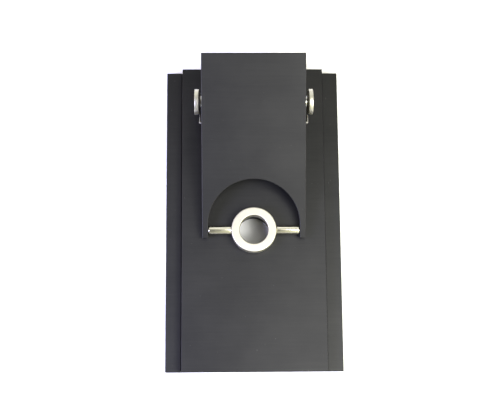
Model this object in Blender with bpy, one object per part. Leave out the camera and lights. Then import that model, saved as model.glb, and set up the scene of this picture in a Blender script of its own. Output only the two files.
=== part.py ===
"""Watch movement holder: a T-section base with a work hole and a spring-loaded lever that clamps a ring over it.

Millimetre sizes are turned into metres by MM. +X is right, +Y is rear, +Z is up, and the origin is the
centre of the base's underside. The lever's own parts are drawn in the lever's frame: the origin on the
axle, u towards the rear along the lever, w square to it, upwards.
"""

import math

import bmesh
import bpy
from mathutils import Vector

MM = 0.001

# Base: a flat bar with a raised land and a flange along each side.
BASE_WIDTH = 60.0 * MM
BASE_LENGTH = 104.4 * MM
FLANGE_THICKNESS = 5.0 * MM
LAND_WIDTH = 48.7 * MM
LAND_HEIGHT = 4.6 * MM
LAND_TOP = FLANGE_THICKNESS + LAND_HEIGHT
STEP_FILLET = 0.2 * MM
BASE_CHAMFER = 0.3 * MM
WORK_HOLE_DIA = 11.6 * MM
WORK_HOLE_CHAMFER = 0.4 * MM

# Axle and the two posts that hold it.
AXLE_Y = 38.2 * MM
AXLE_Z = 17.0 * MM
AXLE_DIA = 4.0 * MM
AXLE_HALF_LENGTH = 18.1 * MM
AXLE_OFFSET = 0.2 * MM  # the clamped axle sits a little to the right of the centre line
AXLE_THREAD_DEPTH = 4.8 * MM
AXLE_CHAMFER = 0.15 * MM
POST_INNER = 10.2 * MM
POST_OUTER = 16.6 * MM
POST_HALF_LENGTH = 7.0 * MM
POST_CHAMFER = 0.25 * MM
POST_STOP_GAP = 0.15 * MM  # between the rear shoulder and the lever when it is fully open

# Lever plate.
LEVER_TILT = math.radians(16.25)
LEVER_TRAVEL = math.radians(20.0)
LEVER_WIDTH = 34.72 * MM
LEVER_LENGTH = 61.6 * MM
LEVER_THICKNESS = 3.0 * MM
LEVER_FRONT_ARM = 45.5 * MM
LEVER_UNDERSIDE = 5.9 * MM
LEVER_CHAMFER = 0.2 * MM
CUTOUT_RADIUS = 15.35 * MM
CUTOUT_SETBACK = 4.55 * MM  # front edge to the centre of the round cut-out

# Clamping ring, hung between the lever's two prongs.
RING_OUTER_DIA = 15.1 * MM
RING_BORE_DIA = 9.65 * MM
RING_HEIGHT = 4.0 * MM
RING_CHAMFER = 0.3 * MM
RING_SETBACK = 2.55 * MM  # front edge to the ring's pivot axis
RING_PIN_DIA = 1.5 * MM
RING_PIN_BURIED = 2.0 * MM
RING_PIN_RECESS = 0.15 * MM  # from the lever's side to the end of the pin
RING_PIN_CHAMFER = 0.1 * MM
SLEEVE_DIA = 2.9 * MM
SLEEVE_CHAMFER = 0.35 * MM
SLEEVE_END_GAP = 0.15 * MM

# Bearing block under the lever, with a flanged bush at each side.
BLOCK_HALF_WIDTH = 9.0 * MM
BLOCK_BOSS_RADIUS = 5.2 * MM
BLOCK_FOOT_HALF_LENGTH = 13.0 * MM
BLOCK_FOOT_THICKNESS = 3.0 * MM
BLOCK_FILLET = 1.0 * MM
BUSH_DIA = 6.0 * MM
BUSH_LENGTH = 6.0 * MM
BUSH_FLANGE_DIA = 8.0 * MM
BUSH_FLANGE = 0.8 * MM

# Torsion springs, one at each end of the axle, between the post and the cap.
WIRE_DIA = 0.7 * MM
COIL_RADIUS = 3.2 * MM
COIL_X = 17.15 * MM
COIL_START = math.radians(145.0)  # measured from the rear, upwards
WIRE_BEND = 0.6 * MM
LEG_X = 17.95 * MM  # the moving leg steps out to here to pass the lever's side
LEG_STEP = 3.4 * MM  # along the leg, from the coil to where it has stepped out
HOOK_U = -6.9 * MM
HOOK_X = 17.85 * MM
HOOK_DEPTH = 1.5 * MM
POST_LEG_DEPTH = 1.8 * MM

# Cap at each end of the axle: a flat rim outside, a low dome towards the lever.
CAP_DIA = 8.6 * MM
CAP_OUTER_X = 20.0 * MM
CAP_RIM_X = 18.75 * MM
CAP_DOME_DEPTH = 0.55 * MM
CAP_DOME_FLAT = 2.6 * MM
CAP_EDGE = 0.08 * MM

# Gaps between separate pieces.
REST_GAP = 0.3 * MM  # between faces that rest on each other
SEAT_GAP = 0.1 * MM  # under a screw head or a flange
FIT_GAP = 0.05 * MM  # around a shaft
AXLE_BORE_CLEARANCE = 0.06 * MM  # these are on the diameter
THREAD_CLEARANCE = 0.1 * MM
PIN_HOLE_CLEARANCE = 0.1 * MM
WIRE_CLEARANCE = 0.2 * MM
SCREW_HOLE_CLEARANCE = 0.4 * MM

# Screws: head diameter, head height, thread diameter, socket across flats.
M3_SCREW = (5.5 * MM, 3.0 * MM, 3.0 * MM, 2.5 * MM)
M2_5_SCREW = (4.5 * MM, 2.4 * MM, 2.5 * MM, 2.0 * MM)
POST_SCREW_SPACING = 10.0 * MM
POST_SCREW_X = (POST_INNER + POST_OUTER) / 2
POST_THREAD_TOP = 15.2 * MM
POST_SCREW_TOP = 14.8 * MM
COUNTERBORE_DIA = 6.4 * MM
COUNTERBORE_DEPTH = 3.4 * MM
BLOCK_SCREW_X = 5.4 * MM
BLOCK_SCREW_U = 9.6 * MM
BLOCK_SCREW_BITE = 2.1 * MM
GRUB_LENGTH = 4.0 * MM
GRUB_CHAMFER = 0.3 * MM
GRUB_SOCKET = 1.3 * MM
GRUB_SOCKET_DEPTH = 1.6 * MM
SCREW_CHAMFER = 0.2 * MM

ROUND = 32  # facets round a shaft or its bore
SMALL = 20  # facets round a screw or a pin
FINE = 64  # facets round the ring and the work hole
WIRE_SIDES = 8
COIL_STEPS = 24
DOME_STEPS = 6
BEVEL_ANGLE = math.radians(50)  # edges sharper than this are broken
OVERCUT = 1.0 * MM  # how far a cutter stands out of what it cuts

LEVER_TOP = LEVER_UNDERSIDE + LEVER_THICKNESS
LEVER_MIDDLE = LEVER_UNDERSIDE + LEVER_THICKNESS / 2
LEVER_FRONT = -LEVER_FRONT_ARM
LEVER_REAR = LEVER_LENGTH - LEVER_FRONT_ARM
RING_PIVOT_U = LEVER_FRONT + RING_SETBACK


def from_lever(u, w):
    """The (y, z) place of a point given in the closed lever's frame."""
    y = AXLE_Y + u * math.cos(LEVER_TILT) - w * math.sin(LEVER_TILT)
    z = AXLE_Z + u * math.sin(LEVER_TILT) + w * math.cos(LEVER_TILT)
    return y, z


RING_Y, RING_Z = from_lever(RING_PIVOT_U, LEVER_MIDDLE)


# ---------------------------------------------------------------- materials


def material(name, colour, roughness, metallic):
    """A Principled material."""
    made = bpy.data.materials.new(name)
    made.use_nodes = True
    shader = made.node_tree.nodes["Principled BSDF"]
    shader.inputs["Base Color"].default_value = (*colour, 1.0)
    shader.inputs["Roughness"].default_value = roughness
    shader.inputs["Metallic"].default_value = metallic
    return made


# ---------------------------------------------------------------- shapes


def finish(name, mesh_edit, look, parent=None, smooth_angle=35.0):
    """Turns a bmesh into a named object with outward faces and smooth round sides."""
    bmesh.ops.remove_doubles(mesh_edit, verts=mesh_edit.verts, dist=1e-7)
    bmesh.ops.recalc_face_normals(mesh_edit, faces=mesh_edit.faces)
    mesh = bpy.data.meshes.new(name)
    mesh_edit.to_mesh(mesh)
    mesh_edit.free()
    mesh.shade_smooth()
    mesh.set_sharp_from_angle(angle=math.radians(smooth_angle))
    mesh.materials.append(look)
    made = bpy.data.objects.new(name, mesh)
    bpy.context.scene.collection.objects.link(made)
    made.parent = parent
    return made


def turned(profile, axis, centre, steps=ROUND, closed=False):
    """A bmesh turned about an axis through centre. The profile lists (distance along the axis, radius)."""
    along = Vector(axis)
    out = along.orthogonal().normalized()
    mesh_edit = bmesh.new()
    points = [mesh_edit.verts.new(Vector(centre) + along * a + out * r) for a, r in profile]
    pairs = list(zip(points, points[1:]))
    if closed:
        pairs.append((points[-1], points[0]))
    edges = [mesh_edit.edges.new(pair) for pair in pairs]
    bmesh.ops.spin(
        mesh_edit,
        geom=points + edges,
        cent=centre,
        axis=axis,
        angle=math.tau,
        steps=steps,
        use_merge=True,
    )
    bmesh.ops.remove_doubles(mesh_edit, verts=mesh_edit.verts, dist=1e-7)
    return mesh_edit


def rod(radius, start, end, chamfer=0.0):
    """The profile of a plain shaft with chamfered ends."""
    return [(start, 0), (start, radius - chamfer), (start + chamfer, radius)] + [
        (end - chamfer, radius),
        (end, radius - chamfer),
        (end, 0),
    ]


def tube(outer, inner, start, end, chamfer=0.0):
    """The closed profile of a tube whose outer edges are chamfered."""
    return [
        (start, inner),
        (start, outer - chamfer),
        (start + chamfer, outer),
        (end - chamfer, outer),
        (end, outer - chamfer),
        (end, inner),
    ]


def prism(outline, low, high, place):
    """A bmesh extruded from low to high. place(a, b, height) puts an outline point in space."""
    mesh_edit = bmesh.new()
    face = mesh_edit.faces.new([mesh_edit.verts.new(place(a, b, low)) for a, b in outline])
    grown = bmesh.ops.extrude_face_region(mesh_edit, geom=[face])
    top = [item for item in grown["geom"] if isinstance(item, bmesh.types.BMVert)]
    step = Vector(place(0, 0, high)) - Vector(place(0, 0, low))
    bmesh.ops.translate(mesh_edit, verts=top, vec=step)
    return mesh_edit


def arc(centre, radius, start, end, steps):
    """Points along an arc, both ends included, angles in degrees."""
    angles = [math.radians(start + (end - start) * i / steps) for i in range(steps + 1)]
    return [(centre[0] + radius * math.cos(a), centre[1] + radius * math.sin(a)) for a in angles]


def across(a, b, height):
    """An outline in (y, z), or in the lever's (u, w), extruded along X."""
    return (height, a, b)


def chamfered(target, width):
    """Breaks the sharp edges."""
    bevel = target.modifiers.new("edges", "BEVEL")
    bevel.width = width
    bevel.segments = 1
    bevel.limit_method = "ANGLE"
    bevel.angle_limit = BEVEL_ANGLE
    return target


def cut(target, mesh_edit, label):
    """Takes a shape away from the target with an exact Boolean and a hidden cutter."""
    cutter = finish(f"cut_{target.name}_{label}", mesh_edit, target.data.materials[0], target.parent)
    cutter.hide_render = True
    cutter.display_type = "WIRE"
    boolean = target.modifiers.new(label, "BOOLEAN")
    boolean.operation = "DIFFERENCE"
    boolean.solver = "EXACT"
    boolean.object = cutter


def drill(target, label, centre, axis, dia, start, end, steps=ROUND):
    """A plain round hole from start to end along the axis through centre."""
    shape = turned([(start, 0), (start, dia / 2), (end, dia / 2), (end, 0)], axis, centre, steps)
    cut(target, shape, label)


def hex_socket(target, centre, axis, across_flats, start, end):
    """A hexagonal key socket."""
    radius = across_flats / math.sqrt(3)
    cut(target, turned([(start, 0), (start, radius), (end, radius), (end, 0)], axis, centre, 6), "socket")


def cap_screw(name, look, centre, axis, size, length, parent=None):
    """A socket-head screw. centre is under its head and the axis runs towards its tip."""
    head_dia, head_height, thread_dia, socket = size
    edge = SCREW_CHAMFER
    profile = [
        (-head_height, 0),
        (-head_height, head_dia / 2 - edge),
        (-head_height + edge, head_dia / 2),
        (0, head_dia / 2),
        (0, thread_dia / 2),
        (length - 2 * edge, thread_dia / 2),
        (length, thread_dia / 2 - 2 * edge),
        (length, 0),
    ]
    screw = finish(name, turned(profile, axis, centre, SMALL), look, parent)
    hex_socket(screw, centre, axis, socket, -head_height - OVERCUT, -head_height / 2)
    return screw


# ---------------------------------------------------------------- base and posts


def base_outline():
    """The T section in (x, z), with a small fillet where each flange meets the land."""
    flange, land = BASE_WIDTH / 2, LAND_WIDTH / 2
    bend = (land + STEP_FILLET, FLANGE_THICKNESS + STEP_FILLET)
    right = [(flange, 0), (flange, FLANGE_THICKNESS)]
    right += arc(bend, STEP_FILLET, 270, 180, 4)
    right += [(land, LAND_TOP)]
    return right + [(-x, z) for x, z in reversed(right)]


def make_base(look):
    half = BASE_LENGTH / 2
    shape = prism(base_outline(), -half, half, lambda a, b, height: (a, height, b))
    base = chamfered(finish("base_plate", shape, look), BASE_CHAMFER)
    radius, edge = WORK_HOLE_DIA / 2, WORK_HOLE_CHAMFER
    profile = [
        (-OVERCUT, 0),
        (-OVERCUT, radius + edge + OVERCUT),
        (edge, radius),
        (LAND_TOP - edge, radius),
        (LAND_TOP + OVERCUT, radius + edge + OVERCUT),
        (LAND_TOP + OVERCUT, 0),
    ]
    cut(base, turned(profile, (0, 0, 1), (0, RING_Y, 0), FINE), "work_hole")
    thread_radius = (M3_SCREW[2] + SCREW_HOLE_CLEARANCE) / 2
    for side, end, label in post_screws():
        at = (side * POST_SCREW_X, AXLE_Y + end * POST_SCREW_SPACING / 2, 0)
        bore = [
            (-OVERCUT, 0),
            (-OVERCUT, COUNTERBORE_DIA / 2),
            (COUNTERBORE_DEPTH, COUNTERBORE_DIA / 2),
            (COUNTERBORE_DEPTH, thread_radius),
            (LAND_TOP + OVERCUT, thread_radius),
            (LAND_TOP + OVERCUT, 0),
        ]
        cut(base, turned(bore, (0, 0, 1), at, SMALL), "screw_" + label)
    return base


def post_screws():
    """Side, end and label of each screw that holds a post to the base."""
    return [
        (side, end, f"{side_name}_{end_name}")
        for side, side_name in ((-1, "left"), (1, "right"))
        for end, end_name in ((-1, "front"), (1, "rear"))
    ]


def post_outline():
    """The post from the side: its front slopes under the closed lever, its rear shoulder stops the open one."""
    below = LEVER_UNDERSIDE - REST_GAP - SEAT_GAP
    open_tilt = LEVER_TILT - LEVER_TRAVEL
    stop = LEVER_UNDERSIDE - POST_STOP_GAP
    length = POST_HALF_LENGTH
    shoulder = (stop + length * math.sin(open_tilt)) / math.cos(open_tilt)
    slope = math.tan(LEVER_TILT)
    ridge = (shoulder - below / math.cos(LEVER_TILT)) / slope
    foot = LAND_TOP + REST_GAP - AXLE_Z
    outline = [
        (-length, foot),
        (length, foot),
        (length, shoulder),
        (ridge, shoulder),
        (-length, shoulder - (ridge + length) * slope),
    ]
    return [(AXLE_Y + y, AXLE_Z + z) for y, z in outline]


def make_post(name, side, look):
    low, high = sorted((side * POST_INNER, side * POST_OUTER))
    post = chamfered(finish(name, prism(post_outline(), low, high, across), look), POST_CHAMFER)
    bore = AXLE_DIA + AXLE_BORE_CLEARANCE
    drill(post, "axle_bore", (0, AXLE_Y, AXLE_Z), (1, 0, 0), bore, low - OVERCUT, high + OVERCUT)
    for end, label in ((-1, "front"), (1, "rear")):
        at = (side * POST_SCREW_X, AXLE_Y + end * POST_SCREW_SPACING / 2, 0)
        thread = M3_SCREW[2] + THREAD_CLEARANCE
        drill(post, label + "_thread", at, (0, 0, 1), thread, LAND_TOP - OVERCUT, POST_THREAD_TOP, SMALL)
    leg_y, leg_z = spring_post_leg()
    hole = WIRE_DIA + WIRE_CLEARANCE
    depth = POST_LEG_DEPTH + REST_GAP
    away = (side, 0, 0)
    drill(post, "spring", (0, leg_y, leg_z), away, hole, POST_OUTER - depth, POST_OUTER + OVERCUT, SMALL)
    if side > 0:
        at = (POST_SCREW_X, AXLE_Y, AXLE_Z)
        thread = M2_5_SCREW[2] + THREAD_CLEARANCE
        drill(post, "grub", at, (0, 1, 0), thread, 0, POST_HALF_LENGTH + OVERCUT, SMALL)
    return post


def make_post_screws(look):
    for side, end, label in post_screws():
        y = AXLE_Y + end * POST_SCREW_SPACING / 2
        seat = COUNTERBORE_DEPTH - SEAT_GAP
        at = (side * POST_SCREW_X, y, seat)
        cap_screw("post_screw_" + label, look, at, (0, 0, 1), M3_SCREW, POST_SCREW_TOP - seat)


def make_grub(look):
    """The grub screw that clamps the axle in the right post."""
    start = AXLE_DIA / 2 + SEAT_GAP
    end = start + GRUB_LENGTH
    radius = M2_5_SCREW[2] / 2
    at = (POST_SCREW_X, AXLE_Y, AXLE_Z)
    shape = turned(rod(radius, start, end, GRUB_CHAMFER), (0, 1, 0), at, SMALL)
    grub = finish("axle_grub_screw", shape, look)
    hex_socket(grub, at, (0, 1, 0), GRUB_SOCKET, end - GRUB_SOCKET_DEPTH, end + OVERCUT)


# ---------------------------------------------------------------- axle, caps and springs


def make_axle(look):
    centre = (AXLE_OFFSET, AXLE_Y, AXLE_Z)
    profile = rod(AXLE_DIA / 2, -AXLE_HALF_LENGTH, AXLE_HALF_LENGTH, AXLE_CHAMFER)
    axle = finish("axle", turned(profile, (1, 0, 0), centre), look)
    thread = M2_5_SCREW[2] + THREAD_CLEARANCE
    deep = AXLE_HALF_LENGTH - AXLE_THREAD_DEPTH
    for side, label in ((-1, "left"), (1, "right")):
        axis = (side, 0, 0)
        drill(axle, label, centre, axis, thread, deep, AXLE_HALF_LENGTH + OVERCUT, SMALL)


def make_cap(name, side, look):
    """A screw-in cap that keeps the spring on the axle: a flat rim, and a rounded face towards the lever."""
    stud_end = AXLE_HALF_LENGTH - AXLE_THREAD_DEPTH + REST_GAP
    thread, radius = M2_5_SCREW[2] / 2, CAP_DIA / 2
    dome_height = radius - CAP_DOME_FLAT
    profile = [(stud_end, 0), (stud_end, thread), (CAP_RIM_X - CAP_DOME_DEPTH, thread)]
    for i in range(DOME_STEPS + 1):
        turn = math.pi / 2 * i / DOME_STEPS
        along = CAP_RIM_X - CAP_DOME_DEPTH * math.cos(turn)
        profile.append((along, CAP_DOME_FLAT + dome_height * math.sin(turn)))
    profile += [(CAP_OUTER_X - CAP_EDGE, radius), (CAP_OUTER_X, radius - CAP_EDGE), (CAP_OUTER_X, 0)]
    centre = (AXLE_OFFSET, AXLE_Y, AXLE_Z)
    cap = finish(name, turned(profile, (side, 0, 0), centre, ROUND), look, smooth_angle=45)
    socket_floor = AXLE_HALF_LENGTH + REST_GAP
    hex_socket(cap, centre, (side, 0, 0), M2_5_SCREW[3], socket_floor, CAP_OUTER_X + OVERCUT)


def coil_point(angle):
    """The (y, z) place on the coil's centre line; the angle runs from the rear, upwards."""
    return AXLE_Y + COIL_RADIUS * math.cos(angle), AXLE_Z + COIL_RADIUS * math.sin(angle)


def spring_post_leg():
    """The (y, z) place where the coil's fixed end goes into the post, one bend away from the coil."""
    y, z = coil_point(COIL_START)
    return y - WIRE_BEND * math.sin(COIL_START), z + WIRE_BEND * math.cos(COIL_START)


def coil_end():
    """The angle at which a straight leg leaves the coil's lower front for the hook in the lever."""
    hook_y, hook_z = from_lever(HOOK_U, LEVER_MIDDLE)
    reach_y, reach_z = hook_y - AXLE_Y, hook_z - AXLE_Z
    reach = math.hypot(reach_y, reach_z)
    return math.atan2(reach_z, reach_y) + math.acos(COIL_RADIUS / reach) - math.tau


def bend(before, corner, after, radius, steps=6):
    """Points that round a corner of a wire path."""
    back = (before - corner).normalized()
    ahead = (after - corner).normalized()
    half = back.angle(ahead) / 2
    reach = radius / math.tan(half)
    middle = (back + ahead).normalized() * (radius / math.sin(half)) + corner
    first = corner + back * reach - middle
    last = corner + ahead * reach - middle
    sweep = first.angle(last)
    return [
        middle + (first * math.sin(sweep * (1 - t)) + last * math.sin(sweep * t)) / math.sin(sweep)
        for t in (i / steps for i in range(steps + 1))
    ]


def spring_path(side):
    """The spring's centre line from its end in the post, round the coil, to its end in the lever."""
    coil_x = side * COIL_X
    post_end = Vector((side * (POST_OUTER - POST_LEG_DEPTH), *spring_post_leg()))
    post_corner = Vector((coil_x, *spring_post_leg()))
    start, end = COIL_START, coil_end()
    coil = [
        Vector((coil_x, *coil_point(start + (end - start) * i / COIL_STEPS)))
        for i in range(COIL_STEPS + 1)
    ]
    hook = Vector((0, *from_lever(HOOK_U, LEVER_MIDDLE)))
    leg_start = Vector((0, *coil_point(end)))
    stepped = leg_start + (hook - leg_start).normalized() * LEG_STEP
    leg_corner = stepped + Vector((AXLE_OFFSET + side * LEG_X, 0, 0))
    hook_corner = hook + Vector((side * HOOK_X, 0, 0))
    hook_end = hook + Vector((side * (LEVER_WIDTH / 2 - HOOK_DEPTH), 0, 0))
    path = [post_end]
    path += bend(post_end, post_corner, coil[0], WIRE_BEND)[:-1]
    path += coil[:-1]
    path += bend(coil[-2], coil[-1], leg_corner, WIRE_BEND)
    path += bend(coil[-1], leg_corner, hook_corner, WIRE_BEND)
    path += bend(leg_corner, hook_corner, hook_end, WIRE_BEND / 2)
    path.append(hook_end)
    return path


def swept(path, radius, sides):
    """A bmesh tube of round section along a path, closed at both ends."""
    mesh_edit = bmesh.new()
    rings = []
    across_wire = None
    for i, point in enumerate(path):
        before, after = path[max(i - 1, 0)], path[min(i + 1, len(path) - 1)]
        along = (after - before).normalized()
        if across_wire is None:
            across_wire = along.orthogonal()
        across_wire = (across_wire - along * across_wire.dot(along)).normalized()
        other = along.cross(across_wire)
        ring = []
        for k in range(sides):
            turn = math.tau * k / sides
            offset = across_wire * math.cos(turn) + other * math.sin(turn)
            ring.append(mesh_edit.verts.new(point + offset * radius))
        rings.append(ring)
    for ring, following in zip(rings, rings[1:]):
        for k in range(sides):
            n = (k + 1) % sides
            mesh_edit.faces.new((ring[k], ring[n], following[n], following[k]))
    mesh_edit.faces.new(rings[0])
    mesh_edit.faces.new(rings[-1])
    return mesh_edit


def make_spring(name, side, look):
    finish(name, swept(spring_path(side), WIRE_DIA / 2, WIRE_SIDES), look, smooth_angle=50)


# ---------------------------------------------------------------- lever and its bearing


def lever_outline():
    """The lever from above in (x, u): a rectangle with a round cut-out that leaves two prongs."""
    half = LEVER_WIDTH / 2
    centre = (0, LEVER_FRONT + CUTOUT_SETBACK)
    outline = [(half, LEVER_FRONT), (half, LEVER_REAR), (-half, LEVER_REAR), (-half, LEVER_FRONT)]
    outline.append((-CUTOUT_RADIUS, LEVER_FRONT))
    outline += arc(centre, CUTOUT_RADIUS, 180, 0, 48)
    outline.append((CUTOUT_RADIUS, LEVER_FRONT))
    return outline


def make_lever(look, parent):
    shape = prism(lever_outline(), LEVER_UNDERSIDE, LEVER_TOP, lambda a, b, height: (a, b, height))
    lever = chamfered(finish("lever_plate", shape, look, parent), LEVER_CHAMFER)
    half = LEVER_WIDTH / 2
    pin_hole = RING_PIN_DIA + PIN_HOLE_CLEARANCE
    reach = half + OVERCUT
    at = (0, RING_PIVOT_U, LEVER_MIDDLE)
    drill(lever, "ring_pins", at, (1, 0, 0), pin_hole, -reach, reach, SMALL)
    hook_hole = WIRE_DIA + WIRE_CLEARANCE
    deep = half - HOOK_DEPTH - REST_GAP
    for side, label in ((-1, "left"), (1, "right")):
        at = (0, HOOK_U, LEVER_MIDDLE)
        drill(lever, "hook_" + label, at, (side, 0, 0), hook_hole, deep, reach, SMALL)
    thread = M2_5_SCREW[2] + THREAD_CLEARANCE
    for x, u, label in block_screws():
        top = LEVER_UNDERSIDE + BLOCK_SCREW_BITE + SEAT_GAP
        drill(lever, "screw_" + label, (x, u, 0), (0, 0, 1), thread, LEVER_UNDERSIDE - OVERCUT, top, SMALL)


def block_outline():
    """The bearing block from the side in (u, w): a round boss with a foot to the front and to the rear."""
    top = LEVER_UNDERSIDE - REST_GAP
    foot = top - BLOCK_FOOT_THICKNESS
    boss = BLOCK_BOSS_RADIUS
    bend_at = (boss + BLOCK_FILLET, foot - BLOCK_FILLET)
    rear = arc((0, 0), boss, 270, 360, 8)
    rear += arc(bend_at, BLOCK_FILLET, 180, 90, 4)
    rear += [(BLOCK_FOOT_HALF_LENGTH, foot), (BLOCK_FOOT_HALF_LENGTH, top)]
    return rear + [(-u, w) for u, w in reversed(rear[1:])]


def block_screws():
    """Place and label of each screw that holds the bearing block to the lever."""
    return [
        (x * BLOCK_SCREW_X, u * BLOCK_SCREW_U, f"{x_name}_{u_name}")
        for x, x_name in ((-1, "left"), (1, "right"))
        for u, u_name in ((-1, "front"), (1, "rear"))
    ]


def make_block(look, parent):
    shape = prism(block_outline(), -BLOCK_HALF_WIDTH, BLOCK_HALF_WIDTH, across)
    block = chamfered(finish("bearing_block", shape, look, parent), POST_CHAMFER)
    reach = BLOCK_HALF_WIDTH + OVERCUT
    drill(block, "bore", (0, 0, 0), (1, 0, 0), BUSH_DIA + 2 * FIT_GAP, -reach, reach)
    hole = M2_5_SCREW[2] + SCREW_HOLE_CLEARANCE
    foot = LEVER_UNDERSIDE - REST_GAP - BLOCK_FOOT_THICKNESS
    for x, u, label in block_screws():
        drill(block, label, (x, u, 0), (0, 0, 1), hole, foot - OVERCUT, LEVER_UNDERSIDE + OVERCUT, SMALL)


def make_block_screws(look, parent):
    seat = LEVER_UNDERSIDE - REST_GAP - BLOCK_FOOT_THICKNESS - SEAT_GAP
    length = LEVER_UNDERSIDE + BLOCK_SCREW_BITE - seat
    for x, u, label in block_screws():
        cap_screw("block_screw_" + label, look, (x, u, seat), (0, 0, 1), M2_5_SCREW, length, parent)


def make_bush(name, side, look, parent):
    """A flanged bush: the barrel sits in the block, the flange faces the post."""
    flange = BLOCK_HALF_WIDTH + SEAT_GAP
    bore = AXLE_DIA / 2 + FIT_GAP
    profile = [
        (flange - BUSH_LENGTH, bore),
        (flange - BUSH_LENGTH, BUSH_DIA / 2),
        (flange, BUSH_DIA / 2),
        (flange, BUSH_FLANGE_DIA / 2),
        (flange + BUSH_FLANGE, BUSH_FLANGE_DIA / 2),
        (flange + BUSH_FLANGE, bore),
    ]
    shape = turned(profile, (side, 0, 0), (0, 0, 0), closed=True)
    finish(name, shape, look, parent)


# ---------------------------------------------------------------- ring


def make_ring(look, parent):
    half, outer, inner, edge = RING_HEIGHT / 2, RING_OUTER_DIA / 2, RING_BORE_DIA / 2, RING_CHAMFER
    profile = [
        (-half, inner + edge),
        (-half, outer - edge),
        (-half + edge, outer),
        (half - edge, outer),
        (half, outer - edge),
        (half, inner + edge),
        (half - edge, inner),
        (-half + edge, inner),
    ]
    shape = turned(profile, (0, 0, 1), (0, 0, 0), FINE, closed=True)
    ring = finish("pressure_ring", shape, look, parent)
    hole = RING_PIN_DIA + PIN_HOLE_CLEARANCE
    deep = outer - RING_PIN_BURIED - SEAT_GAP
    for side, label in ((-1, "left"), (1, "right")):
        drill(ring, label, (0, 0, 0), (side, 0, 0), hole, deep, outer + OVERCUT, SMALL)


def make_ring_arm(side, label, pin_look, sleeve_look, parent):
    """A pin from the ring into the prong, and the polished sleeve round it."""
    outer = RING_OUTER_DIA / 2
    axis = (side, 0, 0)
    pin_end = LEVER_WIDTH / 2 - RING_PIN_RECESS
    pin = rod(RING_PIN_DIA / 2, outer - RING_PIN_BURIED, pin_end, RING_PIN_CHAMFER)
    finish("ring_pin_" + label, turned(pin, axis, (0, 0, 0), SMALL), pin_look, parent)
    start, end = outer + FIT_GAP, CUTOUT_RADIUS - SLEEVE_END_GAP
    bore = RING_PIN_DIA / 2 + FIT_GAP
    sleeve = tube(SLEEVE_DIA / 2, bore, start, end, SLEEVE_CHAMFER)
    shape = turned(sleeve, axis, (0, 0, 0), SMALL, closed=True)
    finish("ring_sleeve_" + label, shape, sleeve_look, parent)


# ---------------------------------------------------------------- assembly


def empty(name, location, tilt, parent=None):
    """A joint's frame: its origin is on the axis."""
    made = bpy.data.objects.new(name, None)
    bpy.context.scene.collection.objects.link(made)
    made.parent = parent
    made.location = location
    made.rotation_euler = (tilt, 0, 0)
    return made


def build():
    for old in list(bpy.data.objects):
        bpy.data.objects.remove(old)
    anodised = material("anodised_aluminium", (0.055, 0.055, 0.065), 0.45, 0.6)
    steel = material("nickel_plated_steel", (0.80, 0.79, 0.74), 0.18, 1.0)
    wire = material("spring_steel", (0.62, 0.60, 0.56), 0.3, 1.0)
    dark_steel = material("blackened_steel", (0.05, 0.05, 0.05), 0.4, 0.9)
    bronze = material("bronze", (0.55, 0.36, 0.18), 0.35, 1.0)

    make_base(anodised)
    make_post("hinge_post_left", -1, anodised)
    make_post("hinge_post_right", 1, anodised)
    make_post_screws(dark_steel)
    make_grub(dark_steel)
    make_axle(steel)
    for side, label in ((-1, "left"), (1, "right")):
        make_cap("axle_cap_" + label, side, steel)
        make_spring("torsion_spring_" + label, side, wire)

    lever_frame = empty("lever_tilt_axis", (0, AXLE_Y, AXLE_Z), LEVER_TILT)
    make_lever(anodised, lever_frame)
    make_block(anodised, lever_frame)
    make_block_screws(dark_steel, lever_frame)
    for side, label in ((-1, "left"), (1, "right")):
        make_bush("axle_bush_" + label, side, bronze, lever_frame)

    ring_frame = empty("ring_pivot_axis", (0, RING_PIVOT_U, LEVER_MIDDLE), -LEVER_TILT, lever_frame)
    make_ring(steel, ring_frame)
    for side, label in ((-1, "left"), (1, "right")):
        make_ring_arm(side, label, steel, steel, ring_frame)


build()
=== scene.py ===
"""Looks of the watch movement holder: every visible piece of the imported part, built finely in its place,
with procedural finishes, and the camera and soft lights of a top-down product picture.

Millimetre sizes are turned into metres by MM. +X is right, +Y is rear, +Z is up, and the origin is the
centre of the base's underside. The lever's parts are drawn in the lever's frame: the origin on the axle,
u towards the rear along the lever, w square to it, upwards.
"""

import math

import bmesh
import bpy
from mathutils import Matrix, Vector

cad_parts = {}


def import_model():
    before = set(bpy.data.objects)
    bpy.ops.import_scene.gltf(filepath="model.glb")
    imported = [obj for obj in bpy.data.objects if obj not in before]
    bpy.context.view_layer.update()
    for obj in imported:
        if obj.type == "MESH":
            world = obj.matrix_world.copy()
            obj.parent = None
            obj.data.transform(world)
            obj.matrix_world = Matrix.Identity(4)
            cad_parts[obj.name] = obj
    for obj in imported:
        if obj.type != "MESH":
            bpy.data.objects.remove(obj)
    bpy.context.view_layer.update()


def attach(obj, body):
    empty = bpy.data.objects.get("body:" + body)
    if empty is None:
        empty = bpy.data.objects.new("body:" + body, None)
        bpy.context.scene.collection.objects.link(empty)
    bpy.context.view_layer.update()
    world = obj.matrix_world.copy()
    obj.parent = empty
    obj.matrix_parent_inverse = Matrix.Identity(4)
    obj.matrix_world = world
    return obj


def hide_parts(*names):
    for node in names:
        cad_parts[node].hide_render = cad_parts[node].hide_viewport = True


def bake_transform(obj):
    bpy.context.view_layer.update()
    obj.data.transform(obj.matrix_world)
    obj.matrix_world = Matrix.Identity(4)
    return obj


MM = 0.001
SIDES = ((-1, "left"), (1, "right"))
ENDS = ((-1, "front"), (1, "rear"))

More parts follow.
